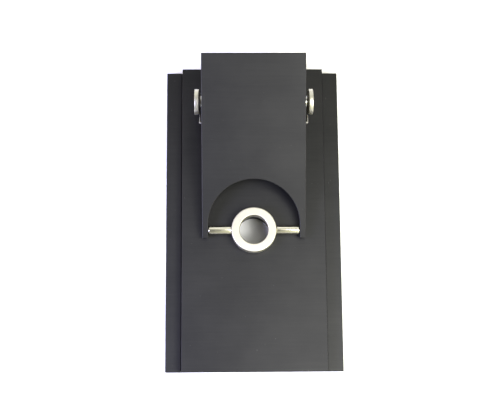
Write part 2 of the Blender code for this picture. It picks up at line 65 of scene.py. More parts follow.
# Base.
BASE_WIDTH = 60.0 * MM
BASE_LENGTH = 104.4 * MM
FLANGE_THICKNESS = 5.0 * MM
LAND_WIDTH = 48.7 * MM
LAND_TOP = 9.6 * MM
STEP_RELIEF = 0.4 * MM  # a square groove along the foot of each step, seen as a dark line
BASE_EDGE = 0.15 * MM
WORK_HOLE_DIA = 11.6 * MM
WORK_HOLE_CHAMFER = 0.4 * MM
COUNTERBORE_DIA = 6.4 * MM
COUNTERBORE_DEPTH = 3.4 * MM
COUNTERBORE_RIM = 0.15 * MM

# Axle, its posts, caps and springs.
AXLE_Y = 38.2 * MM
AXLE_Z = 17.0 * MM
AXLE_DIA = 4.0 * MM
AXLE_HALF_LENGTH = 18.1 * MM
AXLE_OFFSET = 0.2 * MM
AXLE_EDGE = 0.2 * MM
POST_INNER = 10.2 * MM
POST_OUTER = 16.6 * MM
POST_HALF_LENGTH = 7.0 * MM
POST_EDGE = 0.3 * MM
POST_LEVER_GAP = 0.4 * MM  # under the closed lever
POST_STOP_GAP = 0.15 * MM  # under the open lever
POST_BORE_RIM = 0.2 * MM
POST_SCREW_SPACING = 10.0 * MM
POST_SCREW_X = (POST_INNER + POST_OUTER) / 2
POST_SCREW_TOP = 14.8 * MM
CAP_DIA = 8.6 * MM
CAP_OUTER_X = 20.0 * MM
CAP_RIM_X = 18.75 * MM
CAP_DOME_DEPTH = 0.55 * MM
CAP_DOME_FLAT = 2.6 * MM
CAP_EDGE = 0.1 * MM
CAP_SOCKET_FLOOR = AXLE_HALF_LENGTH + 0.4 * MM
WIRE_DIA = 0.7 * MM
COIL_RADIUS = 3.2 * MM
COIL_X = 17.15 * MM
COIL_START = math.radians(145.0)
WIRE_BEND = 0.6 * MM
LEG_X = 17.95 * MM
LEG_STEP = 3.4 * MM
HOOK_U = -6.9 * MM
HOOK_X = 17.85 * MM
HOOK_DEPTH = 1.5 * MM
POST_LEG_DEPTH = 1.8 * MM
WIRE_HOLE_DIA = WIRE_DIA + 0.2 * MM
WIRE_HOLE_RIM = 0.08 * MM
POST_WIRE_HOLE_DEPTH = 2.1 * MM
LEVER_WIRE_HOLE_DEPTH = 1.8 * MM
COIL_STEPS = 120

# Lever.
LEVER_TILT = math.radians(16.25)
LEVER_TRAVEL = math.radians(20.0)
LEVER_WIDTH = 34.72 * MM
LEVER_UNDERSIDE = 5.9 * MM
LEVER_THICKNESS = 3.0 * MM
LEVER_FRONT = -45.5 * MM
LEVER_REAR = 16.1 * MM
LEVER_EDGE = 0.2 * MM
CUTOUT_RADIUS = 15.35 * MM
CUTOUT_SETBACK = 4.55 * MM
LEVER_TOP = LEVER_UNDERSIDE + LEVER_THICKNESS
LEVER_MIDDLE = LEVER_UNDERSIDE + LEVER_THICKNESS / 2

# Bearing block and bushes.
BLOCK_HALF_WIDTH = 9.0 * MM
BLOCK_BOSS_RADIUS = 5.2 * MM
BLOCK_FOOT_HALF_LENGTH = 13.0 * MM
BLOCK_FOOT_THICKNESS = 3.0 * MM
BLOCK_FILLET = 1.0 * MM
BLOCK_FOOT_W = LEVER_UNDERSIDE - 0.3 * MM - BLOCK_FOOT_THICKNESS  # the feet's undersides, in w
BLOCK_BORE_RIM = 0.15 * MM
BLOCK_SCREW_BITE = 2.0 * MM
BLOCK_SCREW_X = 5.4 * MM
BLOCK_SCREW_U = 9.6 * MM
BUSH_DIA = 6.0 * MM
BUSH_FLANGE_DIA = 8.0 * MM
BUSH_FLANGE = 0.8 * MM
BUSH_FACE_GAP = 0.1 * MM
BUSH_LENGTH = 5.9 * MM
BUSH_EDGE = 0.12 * MM

# Ring and its arms.
RING_SETBACK = 2.55 * MM
RING_OUTER_DIA = 15.1 * MM
RING_BORE_DIA = 9.65 * MM
RING_HEIGHT = 4.0 * MM
RING_EDGE = 0.3 * MM
GROOVE_PITCH = 0.13 * MM
GROOVE_DEPTH = 0.004 * MM
RING_PIN_DIA = 1.5 * MM
RING_PIN_DEPTH = 2.0 * MM  # how far the pin goes into the ring
RING_PIN_RECESS = 0.15 * MM
RING_PIN_EDGE = 0.12 * MM
PIN_HOLE_RIM = 0.1 * MM
SLEEVE_DIA = 2.9 * MM
SLEEVE_EDGE = 0.35 * MM

# Screws: head diameter, head height, thread diameter, socket across flats.
M3_SCREW = (5.5 * MM, 3.0 * MM, 3.0 * MM, 2.5 * MM)
M2_5_SCREW = (4.5 * MM, 2.4 * MM, 2.5 * MM, 2.0 * MM)
KNURLS = 36
KNURL_DEPTH = 0.07 * MM
HEAD_EDGE = 0.25 * MM
HEAD_FOOT = 0.1 * MM
SOCKET_SHARE = 0.45  # of the head's height that is left below the socket
SOCKET_FLARE = 0.2 * MM
THREAD_PITCH = 0.45 * MM
THREAD_SHARE = 0.55  # of the pitch, the thread's depth
THREAD_START = 0.2 * MM
THREAD_END = 0.3 * MM
SCREW_SEAT_GAP = 0.1 * MM
GRUB_LENGTH = 4.0 * MM
GRUB_SOCKET = 1.3 * MM
GRUB_SOCKET_DEPTH = 1.6 * MM

OVERCUT = 1.0 * MM
CLEARANCE = 0.05 * MM

# Finishes.
BASE_TONE = 1.15  # the base looks a little lighter than the lever
LEVER_TONE = 0.92

# Lights, floor and camera. The camera's place was first solved from the photo's perspective, and the
# lights' strengths from its brightness, outside this script. The values here are rounded ones, with the
# lights then adjusted.
ROOM_LIGHT = (0.02, 0.02, 0.024)
WALL_LIGHT = (0.60, 0.60, 0.61)  # at the horizon, falling off upwards
WALL_SHARPNESS = 3.0
SOFT_LIGHTS = (  # from the vertical and round from the right in degrees, sharpness, colour and strength
    (60, 315, 8, (4.0, 4.0, 2.9)),  # low fill, front right
    (60, 90, 8, (1.8, 1.8, 1.7)),  # rear wall
    (60, 180, 8, (2.0, 1.6, 1.0)),  # left wall
    (12, 90, 20, (0.5, 0.5, 0.4)),  # ceiling
)
SOFTBOXES = (  # from the vertical and round from the right in degrees, power in watts, colour
    (32, -30, 2.05, (1.0, 1.0, 0.96)),  # main light, front right
    (15, 0, 0.35, (1.0, 1.0, 0.95)),  # overhead light, a little to the right
    (45, 200, 3.6, (0.58, 0.60, 1.0)),  # cool window, left
)
SOFTBOX_DISTANCE = 420.0 * MM
SOFTBOX_SIZE = 180.0 * MM
FLOOR_REACH = 1500.0 * MM  # from the middle to each side
CAMERA_TARGET = (-1.0 * MM, 4.44 * MM, 0)
CAMERA_DISTANCE = 340.2 * MM
CAMERA_TILT = math.radians(10.1)  # from straight down
CAMERA_BEARING = math.radians(83.46)  # the way it looks, round from the right
CAMERA_ROLL = math.radians(0.46)
CAMERA_LENS = 69.85


def from_lever(u, w):
    """The (y, z) place of a point given in the closed lever's frame."""
    y = AXLE_Y + u * math.cos(LEVER_TILT) - w * math.sin(LEVER_TILT)
    z = AXLE_Z + u * math.sin(LEVER_TILT) + w * math.cos(LEVER_TILT)
    return y, z


RING_CENTRE = Vector((0, *from_lever(LEVER_FRONT + RING_SETBACK, LEVER_MIDDLE)))
LEVER_FRAME = Matrix.Translation((0, AXLE_Y, AXLE_Z)) @ Matrix.Rotation(LEVER_TILT, 4, "X")
AXLE_CENTRE = Vector((AXLE_OFFSET, AXLE_Y, AXLE_Z))


# ---------------------------------------------------------------- shapes


def arc(centre, radius, start, end, steps):
    """Points along an arc, both ends included, angles in degrees."""
    angles = [math.radians(start + (end - start) * i / steps) for i in range(steps + 1)]
    return [(centre[0] + radius * math.cos(a), centre[1] + radius * math.sin(a)) for a in angles]


def turned(profile, steps=64, axis="Z", closed=False):
    """A bmesh turned about an axis through the origin. The profile lists (distance along, radius)."""
    mesh_edit = bmesh.new()
    points = [mesh_edit.verts.new((radius, 0, along)) for along, radius in profile]
    pairs = list(zip(points, points[1:]))
    if closed:
        pairs.append((points[-1], points[0]))
    edges = [mesh_edit.edges.new(pair) for pair in pairs]
    bmesh.ops.spin(
        mesh_edit,
        geom=points + edges,
        cent=(0, 0, 0),
        axis=(0, 0, 1),
        angle=math.tau,
        steps=steps,
        use_merge=True,
    )
    bmesh.ops.remove_doubles(mesh_edit, verts=mesh_edit.verts, dist=1e-8)
    turn = {"X": Matrix.Rotation(math.pi / 2, 4, "Y"), "Y": Matrix.Rotation(-math.pi / 2, 4, "X")}
    if axis in turn:
        bmesh.ops.transform(mesh_edit, matrix=turn[axis], verts=mesh_edit.verts)
    return mesh_edit


def moved(mesh_edit, place):
    """The same bmesh, moved by a vector or a matrix."""
    matrix = place if isinstance(place, Matrix) else Matrix.Translation(place)
    bmesh.ops.transform(mesh_edit, matrix=matrix, verts=mesh_edit.verts)
    return mesh_edit


def prism(outline, low, high, place):
    """A bmesh extruded from low to high. place(a, b, height) puts an outline point in space."""
    mesh_edit = bmesh.new()
    face = mesh_edit.faces.new([mesh_edit.verts.new(place(a, b, low)) for a, b in outline])
    grown = bmesh.ops.extrude_face_region(mesh_edit, geom=[face])
    top = [item for item in grown["geom"] if isinstance(item, bmesh.types.BMVert)]
    step = Vector(place(0, 0, high)) - Vector(place(0, 0, low))
    bmesh.ops.translate(mesh_edit, verts=top, vec=step)
    return mesh_edit


def rounded_shaft(start, end, radius, edge, steps=4):
    """The profile of a shaft whose end edges are rounded."""
    shoulder = radius - edge
    first = [(start + edge - edge * math.cos(a), shoulder + edge * math.sin(a)) for a in quarter(steps)]
    last = [(end - edge + edge * math.sin(a), shoulder + edge * math.cos(a)) for a in quarter(steps)]
    return [(start, 0)] + first + last + [(end, 0)]


def quarter(steps):
    """Angles from nought to a right angle."""
    return [math.pi / 2 * i / steps for i in range(steps + 1)]


def swept(path, radius, sides):
    """A bmesh tube of round section along a path, with flat ends."""
    mesh_edit = bmesh.new()
    rings = []
    across_wire = None
    for i, point in enumerate(path):
        before, after = path[max(i - 1, 0)], path[min(i + 1, len(path) - 1)]
        along = (after - before).normalized()
        if across_wire is None:
            across_wire = along.orthogonal()
        across_wire = (across_wire - along * across_wire.dot(along)).normalized()
        other = along.cross(across_wire)
        ring = []
        for k in range(sides):
            turn = math.tau * k / sides
            offset = across_wire * math.cos(turn) + other * math.sin(turn)
            ring.append(mesh_edit.verts.new(point + offset * radius))
        rings.append(ring)
    for ring, following in zip(rings, rings[1:]):
        for k in range(sides):
            n = (k + 1) % sides
            mesh_edit.faces.new((ring[k], ring[n], following[n], following[k]))
    mesh_edit.faces.new(rings[0])
    mesh_edit.faces.new(rings[-1])
    return mesh_edit


def to_object(name, mesh_edit):
    """Puts a bmesh in the scene as an object with outward faces."""
    bmesh.ops.recalc_face_normals(mesh_edit, faces=mesh_edit.faces)
    mesh = bpy.data.meshes.new(name)
    mesh_edit.to_mesh(mesh)
    mesh_edit.free()
    made = bpy.data.objects.new(name, mesh)
    bpy.context.scene.collection.objects.link(made)
    return made


def piece(name, mesh_edit, look, edge=0.0, cuts=(), origin=(0, 0, 0), smooth_angle=38.0):
    """A visible piece from a mesh in its place: edges rounded, holes cut, smooth where it should be."""
    made = to_object(name, mesh_edit)
    if edge:
        bevel = made.modifiers.new("edges", "BEVEL")
        bevel.width = edge
        bevel.segments = 3
        bevel.limit_method = "ANGLE"
        bevel.angle_limit = math.radians(50)
    cutters = [to_object(f"cutter_{i}", shape) for i, shape in enumerate(cuts)]
    for cutter in cutters:
        boolean = made.modifiers.new("cut", "BOOLEAN")
        boolean.operation = "DIFFERENCE"
        boolean.solver = "EXACT"
        boolean.object = cutter
    if made.modifiers:
        bpy.context.view_layer.update()
        evaluated = made.evaluated_get(bpy.context.evaluated_depsgraph_get())
        final = bpy.data.meshes.new_from_object(evaluated)
        made.modifiers.clear()
        made.data = final
    for cutter in cutters:
        bpy.data.objects.remove(cutter)
    made.data.name = name
    made.data.shade_smooth()
    made.data.set_sharp_from_angle(angle=math.radians(smooth_angle))
    made.data.materials.clear()
    made.data.materials.append(look)
    if Vector(origin).length:
        made.data.transform(Matrix.Translation(-Vector(origin)))
        made.location = origin
    return made


def evened(made):
    """Keeps the flat faces flat beside rounded edges."""
    weighted = made.modifiers.new("even_normals", "WEIGHTED_NORMAL")
    weighted.keep_sharp = True
    return made


def stand_in(made, cad_node, body):
    """The piece stands for a CAD node, whose part it hides, and moves with its body."""
    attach(made, body)
    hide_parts(cad_node)
    return made


def hexagon(across_flats, start, end, axis="Z"):
    """A hexagonal prism along an axis, for cutting a key socket."""
    radius = across_flats / math.sqrt(3)
    return turned([(start, 0), (start, radius), (end, radius), (end, 0)], 6, axis)


def hole(dia, start, end, rim=0.0, axis="Z", steps=48):
    """A round hole from start to end. Each rim that is wanted is a small chamfer at that end."""
    radius = dia / 2
    profile = [(start - OVERCUT, 0), (start - OVERCUT, radius + rim + OVERCUT * (rim > 0))]
    if rim:
        profile += [(start + rim, radius), (end - rim, radius)]
    profile += [(end + OVERCUT, radius + rim + OVERCUT * (rim > 0)), (end + OVERCUT, 0)]
    return turned(profile, steps, axis)


def blind_hole(dia, open_end, bottom, rim=0.0, axis="Z", steps=32):
    """A drilled hole along the axis, from its open end to its bottom, in either direction."""
    way = 1 if bottom > open_end else -1
    radius = dia / 2
    out = open_end - way * OVERCUT
    profile = [(out, 0), (out, radius + (rim + OVERCUT if rim else 0))]
    if rim:
        profile.append((open_end + way * rim, radius))
    profile += [(bottom, radius), (bottom + way * radius * 0.5, 0)]
    return turned(profile, steps, axis)


def cap_screw(name, look, size, length):
    """A socket-head screw with a knurled head. The origin is under its head and it points up."""
    head_dia, head_height, thread_dia, socket = size
    head, edge = head_dia / 2, HEAD_EDGE
    rim = [
        (-head_height + edge - edge * math.cos(a), head - edge + edge * math.sin(a)) for a in quarter(3)
    ]
    profile = [(-head_height, 0)] + rim
    profile += [(-HEAD_FOOT, head), (0, head - HEAD_FOOT), (0, thread_dia / 2)]
    thread = thread_dia / 2
    for i in range(int((length - 2 * THREAD_END) / THREAD_PITCH)):
        at = THREAD_START + i * THREAD_PITCH
        profile += [(at, thread), (at + THREAD_PITCH / 2, thread - THREAD_SHARE * THREAD_PITCH)]
    profile += [(length - THREAD_END, thread), (length, thread - THREAD_END), (length, 0)]
    shape = turned(profile, 2 * KNURLS)
    for vert in shape.verts:
        radius = math.hypot(vert.co.x, vert.co.y)
        knurled = radius > head - 1e-6 and vert.co.z < -HEAD_FOOT / 2
        index = round(math.atan2(vert.co.y, vert.co.x) / math.tau * 2 * KNURLS)
        if knurled and index % 2:
            vert.co.x *= (head - KNURL_DEPTH) / radius
            vert.co.y *= (head - KNURL_DEPTH) / radius
    out = -head_height - OVERCUT
    cutter = hexagon(socket, out, -head_height * SOCKET_SHARE)
    mouth = socket / 2 + SOCKET_FLARE
    flare = turned([(out, 0), (out, mouth + OVERCUT), (-head_height + mouth, 0)], 48)
    return piece(name, shape, look, cuts=(cutter, flare), smooth_angle=25)


# ---------------------------------------------------------------- finishes


def node(tree, kind, inputs=None, **settings):
    """Adds a shader node, sets its properties, and fills its inputs with values or links."""
    made = tree.nodes.new(kind)
    for name, value in settings.items():
        setattr(made, name, value)
    for name, value in (inputs or {}).items():
        if isinstance(value, bpy.types.NodeSocket):
            tree.links.new(value, made.inputs[name])
        else:
            made.inputs[name].default_value = value
    return made


def new_finish(name):
    """A material and its node tree, Principled shader and object coordinates."""
    made = bpy.data.materials.new(name)
    made.use_nodes = True
    tree = made.node_tree
    return made, tree, tree.nodes["Principled BSDF"], node(tree, "ShaderNodeTexCoord").outputs["Object"]


def noise(tree, coordinates, scale, detail=2.0, roughness=0.5):
    """Noise from 0 to 1; scale may differ along each axis."""
    if not isinstance(scale, tuple):
        scale = (scale,) * 3
    spread = node(tree, "ShaderNodeMapping", {"Vector": coordinates, "Scale": scale})
    inputs = {"Vector": spread.outputs[0], "Scale": 1.0, "Detail": detail, "Roughness": roughness}
    return node(tree, "ShaderNodeTexNoise", inputs).outputs["Fac"]


def ramp(tree, value, low, high, out_low=0.0, out_high=1.0):
    """Maps low..high to out_low..out_high, clamped."""
    inputs = {"Value": value, "From Min": low, "From Max": high, "To Min": out_low, "To Max": out_high}
    return node(tree, "ShaderNodeMapRange", inputs).outputs[0]


def maths(tree, operation, a, b):
    """The result of one sum; a and b are values or sockets."""
    return node(tree, "ShaderNodeMath", {0: a, 1: b}, operation=operation).outputs[0]


def weighed(tree, a, share, b):
    """One value made of a share of a and the rest of b."""
    part, rest = maths(tree, "MULTIPLY", a, share), maths(tree, "MULTIPLY", b, 1.0 - share)
    return maths(tree, "ADD", part, rest)


def mixed(tree, factor, a, b):
    """A colour between a and b."""
    made = node(tree, "ShaderNodeMix", data_type="RGBA")
    for socket, value in ((made.inputs[0], factor), (made.inputs[6], a), (made.inputs[7], b)):
        if isinstance(value, bpy.types.NodeSocket):
            tree.links.new(value, socket)
        elif isinstance(value, tuple):
            socket.default_value = (*value, 1.0)
        else:
            socket.default_value = value
    return made.outputs[2]


def bumped(tree, shader, height, depth, strength=1.0):
    """Feeds a bump of a real depth into the shader."""
    inputs = {"Height": height, "Distance": depth, "Strength": strength}
    tree.links.new(node(tree, "ShaderNodeBump", inputs).outputs[0], shader.inputs["Normal"])


def put(tree, shader, name, value):
    """Links a socket or sets a plain value."""
    if isinstance(value, bpy.types.NodeSocket):
        tree.links.new(value, shader.inputs[name])
    else:
        shader.inputs[name].default_value = (*value, 1.0) if isinstance(value, tuple) else value


def anodised_finish(name, tone=1.0):
    """Dark grey anodised aluminium: fine brushing along X, a soft grain, and a few dust specks."""
    made, tree, shader, at = new_finish(name)
    brushing = noise(tree, at, (260, 9000, 9000), 3.0, 0.6)
    wide_brushing = noise(tree, at, (60, 1500, 1500), 3.0, 0.65)
    grain = noise(tree, at, 9000, 2.0)
    cloud = noise(tree, at, 70, 3.0)
    dark = tuple(c * tone for c in (0.0235, 0.0235, 0.0240))
    light = tuple(c * tone for c in (0.0295, 0.0295, 0.0295))
    mottle = weighed(tree, cloud, 0.65, wide_brushing)
    colour = mixed(tree, ramp(tree, mottle, 0.32, 0.68), dark, light)
    specks = ramp(tree, noise(tree, at, 1900, 1.0), 0.80, 0.84)
    colour = mixed(tree, maths(tree, "MULTIPLY", specks, 0.35), colour, (0.22, 0.22, 0.21))
    put(tree, shader, "Base Color", colour)
    put(tree, shader, "Metallic", 1.0)
    put(tree, shader, "Roughness", ramp(tree, brushing, 0.25, 0.75, 0.42, 0.48))
    bumped(tree, shader, weighed(tree, brushing, 0.35, grain), 0.006 * MM, 0.8)
    return made


def turned_finish(name, colour, axis, roughness, anisotropy):
    """Lathe-turned bright metal: fine rings round the axis that stretch its highlights."""
    made, tree, shader, at = new_finish(name)
    keep = tuple(0.0 if letter == axis else 1.0 for letter in "XYZ")
    flat = node(tree, "ShaderNodeVectorMath", {0: at, 1: keep}, operation="MULTIPLY").outputs[0]
    radius = node(tree, "ShaderNodeVectorMath", {0: flat}, operation="LENGTH").outputs["Value"]
    along = node(tree, "ShaderNodeSeparateXYZ", {0: at}).outputs[axis]
    place = node(tree, "ShaderNodeCombineXYZ", {0: radius, 1: along, 2: 0.0}).outputs[0]
    rings = noise(tree, place, (14000, 14000, 1), 2.0, 0.6)
    cloud = noise(tree, at, 450, 3.0)
    shade = tuple(c * 0.93 for c in colour)
    put(tree, shader, "Base Color", mixed(tree, ramp(tree, cloud, 0.3, 0.7), shade, colour))
    put(tree, shader, "Metallic", 1.0)
    put(tree, shader, "Roughness", ramp(tree, rings, 0.2, 0.8, roughness * 0.85, roughness * 1.15))
    put(tree, shader, "Anisotropic", anisotropy)
    tangent = node(tree, "ShaderNodeTangent", direction_type="RADIAL", axis=axis)
    tree.links.new(tangent.outputs[0], shader.inputs["Tangent"])
    bumped(tree, shader, rings, 0.0015 * MM, 0.6)
    return made


def wire_finish():
    """Drawn spring wire: grey, darkened as painted shade for the shade it lies in, with short scratches
    and a faint straw tint.
    """
    made, tree, shader, at = new_finish("spring_wire")
    marks = noise(tree, at, 5200, 3.0, 0.65)
    cloud = noise(tree, at, 600, 2.0)
    # painted shade: the wire's grey is kept dark to stand for the shade the coil and leg lie in
    tint = mixed(tree, ramp(tree, cloud, 0.3, 0.7), (0.15, 0.145, 0.135), (0.24, 0.23, 0.21))
    put(tree, shader, "Base Color", tint)
    put(tree, shader, "Metallic", 1.0)
    put(tree, shader, "Roughness", ramp(tree, marks, 0.3, 0.7, 0.30, 0.46))
    bumped(tree, shader, marks, 0.002 * MM, 0.5)
    return made


def black_finish():
    """Blackened screw steel, slightly oily and mottled."""
    made, tree, shader, at = new_finish("black_oxide")
    mottle = noise(tree, at, 1600, 4.0, 0.6)
    tint = mixed(tree, ramp(tree, mottle, 0.35, 0.7), (0.016, 0.016, 0.018), (0.045, 0.043, 0.042))
    put(tree, shader, "Base Color", tint)
    put(tree, shader, "Metallic", 0.85)
    put(tree, shader, "Roughness", ramp(tree, mottle, 0.3, 0.7, 0.28, 0.46))
    bumped(tree, shader, noise(tree, at, 6000, 2.0), 0.003 * MM, 0.5)
    return made


def bronze_finish():
    """Sintered bronze: warm, with small open pores, painted dark as painted shade inside them."""
    made, tree, shader, at = new_finish("sintered_bronze")
    spread = node(tree, "ShaderNodeMapping", {"Vector": at, "Scale": (7000, 7000, 7000)})
    cells = node(tree, "ShaderNodeTexVoronoi", {"Vector": spread.outputs[0], "Scale": 1.0})
    solid = ramp(tree, cells.outputs["Distance"], 0.12, 0.3)
    # painted shade: the pores take a dark brown colour for the shade inside them
    put(tree, shader, "Base Color", mixed(tree, solid, (0.16, 0.09, 0.04), (0.58, 0.37, 0.18)))
    put(tree, shader, "Metallic", 1.0)
    put(tree, shader, "Roughness", ramp(tree, solid, 0.0, 1.0, 0.6, 0.34))
    bumped(tree, shader, solid, 0.006 * MM, 0.6)
    return made


def paper_finish():
    """The white paper sweep under the holder."""
    made, tree, shader, at = new_finish("white_paper")
    fibres = noise(tree, at, 900, 3.0)
    put(tree, shader, "Base Color", mixed(tree, fibres, (0.90, 0.90, 0.90), (0.93, 0.93, 0.93)))
    put(tree, shader, "Roughness", 0.85)
    put(tree, shader, "Specular IOR Level", 0.15)
    bumped(tree, shader, fibres, 0.01 * MM, 0.3)
    return made


# ---------------------------------------------------------------- base and posts


def post_screws():
    """Place and label of each screw that holds a post to the base."""
    return [
        (side * POST_SCREW_X, AXLE_Y + end * POST_SCREW_SPACING / 2, f"{side_name}_{end_name}")
        for side, side_name in SIDES
        for end, end_name in ENDS
    ]


def make_base(look):
    flange, land = BASE_WIDTH / 2, LAND_WIDTH / 2
    groove_side, groove_floor = land + STEP_RELIEF, FLANGE_THICKNESS - STEP_RELIEF
    right = [(flange, 0), (flange, FLANGE_THICKNESS), (groove_side, FLANGE_THICKNESS)]
    right += [(groove_side, groove_floor), (land, groove_floor), (land, LAND_TOP)]
    outline = right + [(-x, z) for x, z in reversed(right)]
    half = BASE_LENGTH / 2
    shape = prism(outline, -half, half, lambda a, b, height: (a, height, b))
    cuts = [moved(hole(WORK_HOLE_DIA, 0, LAND_TOP, WORK_HOLE_CHAMFER, steps=128), (0, RING_CENTRE.y, 0))]
    for x, y, _ in post_screws():
        seat = blind_hole(COUNTERBORE_DIA, 0, COUNTERBORE_DEPTH, COUNTERBORE_RIM, steps=64)
        cuts.append(moved(seat, (x, y, 0)))
    made = evened(piece("base", shape, look, BASE_EDGE, cuts))
    stand_in(made, "base_plate", "base")


def post_outline():
    """The post from the side: its front slopes under the closed lever, its rear stops the open one."""
    below = LEVER_UNDERSIDE - POST_LEVER_GAP
    open_tilt = LEVER_TILT - LEVER_TRAVEL
    stop = LEVER_UNDERSIDE - POST_STOP_GAP
    length = POST_HALF_LENGTH
    shoulder = (stop + length * math.sin(open_tilt)) / math.cos(open_tilt)
    slope = math.tan(LEVER_TILT)
    ridge = (shoulder - below / math.cos(LEVER_TILT)) / slope
    foot = LAND_TOP - AXLE_Z
    outline = [
        (-length, foot),
        (length, foot),
        (length, shoulder),
        (ridge, shoulder),
        (-length, shoulder - (ridge + length) * slope),
    ]
    return [(AXLE_Y + y, AXLE_Z + z) for y, z in outline]


def make_post(label, side, look):
    low, high = sorted((side * POST_INNER, side * POST_OUTER))
    shape = prism(post_outline(), low, high, lambda a, b, height: (height, a, b))
    bore = moved(hole(AXLE_DIA + 2 * CLEARANCE, low, high, POST_BORE_RIM, "X", 64), (0, AXLE_Y, AXLE_Z))
    leg_y, leg_z = spring_post_leg()
    outer = side * POST_OUTER
    spring_hole = blind_hole(WIRE_HOLE_DIA, outer, outer - side * POST_WIRE_HOLE_DEPTH, WIRE_HOLE_RIM, "X")
    cuts = [bore, moved(spring_hole, (0, leg_y, leg_z))]
    if side > 0:
        grub_bore = blind_hole(M2_5_SCREW[2] + 2 * CLEARANCE, POST_HALF_LENGTH, 0, POST_BORE_RIM, "Y", 48)
        cuts.append(moved(grub_bore, (POST_SCREW_X, AXLE_Y, AXLE_Z)))
    made = evened(piece("post_" + label, shape, look, POST_EDGE, cuts))
    stand_in(made, "hinge_post_" + label, "base")


def make_post_screws(look):
    seat = COUNTERBORE_DEPTH - SCREW_SEAT_GAP
    for x, y, label in post_screws():
        made = cap_screw("base_screw_" + label, look, M3_SCREW, POST_SCREW_TOP - seat)
        made.location = (x, y, seat)
        stand_in(made, "post_screw_" + label, "base")


def make_grub(look):
    start = AXLE_DIA / 2 + SCREW_SEAT_GAP
    end = start + GRUB_LENGTH
    shape = turned(rounded_shaft(start, end, M2_5_SCREW[2] / 2, HEAD_EDGE), 48, "Y")
    socket = hexagon(GRUB_SOCKET, end - GRUB_SOCKET_DEPTH, end + OVERCUT, "Y")
    at = Vector((POST_SCREW_X, AXLE_Y, AXLE_Z))
    made = piece("grub_screw", moved(shape, at), look, cuts=[moved(socket, at)])
    stand_in(made, "axle_grub_screw", "base")


# ---------------------------------------------------------------- axle, caps and springs


def make_axle(look):
    half = AXLE_HALF_LENGTH
    shape = turned(rounded_shaft(-half, half, AXLE_DIA / 2, AXLE_EDGE), 96, "X")
    made = piece("axle_shaft", shape, look)
    made.location = AXLE_CENTRE
    stand_in(made, "axle", "base")


def make_cap(label, side, look):
    """The cap that keeps the spring on the axle: a flat rim, and a rounded face towards the lever."""
    radius, edge = CAP_DIA / 2, CAP_EDGE
    dome_height = radius - CAP_DOME_FLAT
    profile = [(CAP_RIM_X - CAP_DOME_DEPTH, 0)]
    for angle in quarter(20):
        along = CAP_RIM_X - CAP_DOME_DEPTH * math.cos(angle)
        profile.append((along, CAP_DOME_FLAT + dome_height * math.sin(angle)))
    profile += [
        (CAP_OUTER_X - edge + edge * math.sin(a), radius - edge + edge * math.cos(a)) for a in quarter(4)
    ]
    profile += grooves(CAP_OUTER_X, radius - edge, 0, -1) + [(CAP_OUTER_X, 0)]
    shape = turned([(side * along, distance) for along, distance in profile], 96, "X")
    socket = hexagon(M2_5_SCREW[3], side * CAP_SOCKET_FLOOR, side * (CAP_OUTER_X + OVERCUT), "X")
    made = piece("cap_" + label, shape, look, cuts=[socket])
    made.location = AXLE_CENTRE
    stand_in(made, "axle_cap_" + label, "base")


def grooves(height, start, end, sign):
    """Fine turning marks across a flat face, from one radius to another."""
    count = max(2, int(abs(end - start) / GROOVE_PITCH))
    step = (end - start) / count
    marks = []
    for i in range(1, count):
        marks.append((height + sign * GROOVE_DEPTH * (i % 2), start + i * step))
    return marks


def coil_point(angle):
    """The (y, z) place on the coil's centre line; the angle runs from the rear, upwards."""
    return AXLE_Y + COIL_RADIUS * math.cos(angle), AXLE_Z + COIL_RADIUS * math.sin(angle)


def spring_post_leg():
    """The (y, z) place where the coil's fixed end goes into the post, one bend away from the coil."""
    y, z = coil_point(COIL_START)
    return y - WIRE_BEND * math.sin(COIL_START), z + WIRE_BEND * math.cos(COIL_START)


def coil_end():
    """The angle at which a straight leg leaves the coil's lower front for the hook in the lever."""
    hook_y, hook_z = from_lever(HOOK_U, LEVER_MIDDLE)
    reach_y, reach_z = hook_y - AXLE_Y, hook_z - AXLE_Z
    reach = math.hypot(reach_y, reach_z)
    return math.atan2(reach_z, reach_y) + math.acos(COIL_RADIUS / reach) - math.tau


def bend(before, corner, after, radius, steps=12):
    """Points that round a corner of a wire path."""
    back = (before - corner).normalized()
    ahead = (after - corner).normalized()
    half = back.angle(ahead) / 2
    reach = radius / math.tan(half)
    middle = (back + ahead).normalized() * (radius / math.sin(half)) + corner
    first = corner + back * reach - middle
    last = corner + ahead * reach - middle
    sweep = first.angle(last)
    return [
        middle + (first * math.sin(sweep * (1 - t)) + last * math.sin(sweep * t)) / math.sin(sweep)
        for t in (i / steps for i in range(steps + 1))
    ]


def spring_path(side):
    """The spring's centre line from its end in the post, round the coil, to its end in the lever."""
    coil_x = side * COIL_X
    post_end = Vector((side * (POST_OUTER - POST_LEG_DEPTH), *spring_post_leg()))
    post_corner = Vector((coil_x, *spring_post_leg()))
    start, end = COIL_START, coil_end()
    coil = [
        Vector((coil_x, *coil_point(start + (end - start) * i / COIL_STEPS)))
        for i in range(COIL_STEPS + 1)
    ]
    hook = Vector((0, *from_lever(HOOK_U, LEVER_MIDDLE)))
    leg_start = Vector((0, *coil_point(end)))
    stepped = leg_start + (hook - leg_start).normalized() * LEG_STEP
    leg_corner = stepped + Vector((AXLE_OFFSET + side * LEG_X, 0, 0))
    hook_corner = hook + Vector((side * HOOK_X, 0, 0))
    hook_end = hook + Vector((side * (LEVER_WIDTH / 2 - HOOK_DEPTH), 0, 0))
    path = [post_end]
    path += bend(post_end, post_corner, coil[0], WIRE_BEND)[:-1]
    path += coil[:-2]
    path += bend(coil[-3], coil[-1], leg_corner, WIRE_BEND)
    path += bend(coil[-1], leg_corner, hook_corner, WIRE_BEND)
    path += bend(leg_corner, hook_corner, hook_end, WIRE_BEND / 2)
    path.append(hook_end)
    return path


def make_spring(label, side, look):
    """The spring as one fixed piece, from its end in the post round the coil to its hook in the closed
    lever.
    """
    made = piece("spring_" + label, swept(spring_path(side), WIRE_DIA / 2, 20), look, smooth_angle=50)
    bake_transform(made)
    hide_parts("torsion_spring_" + label)


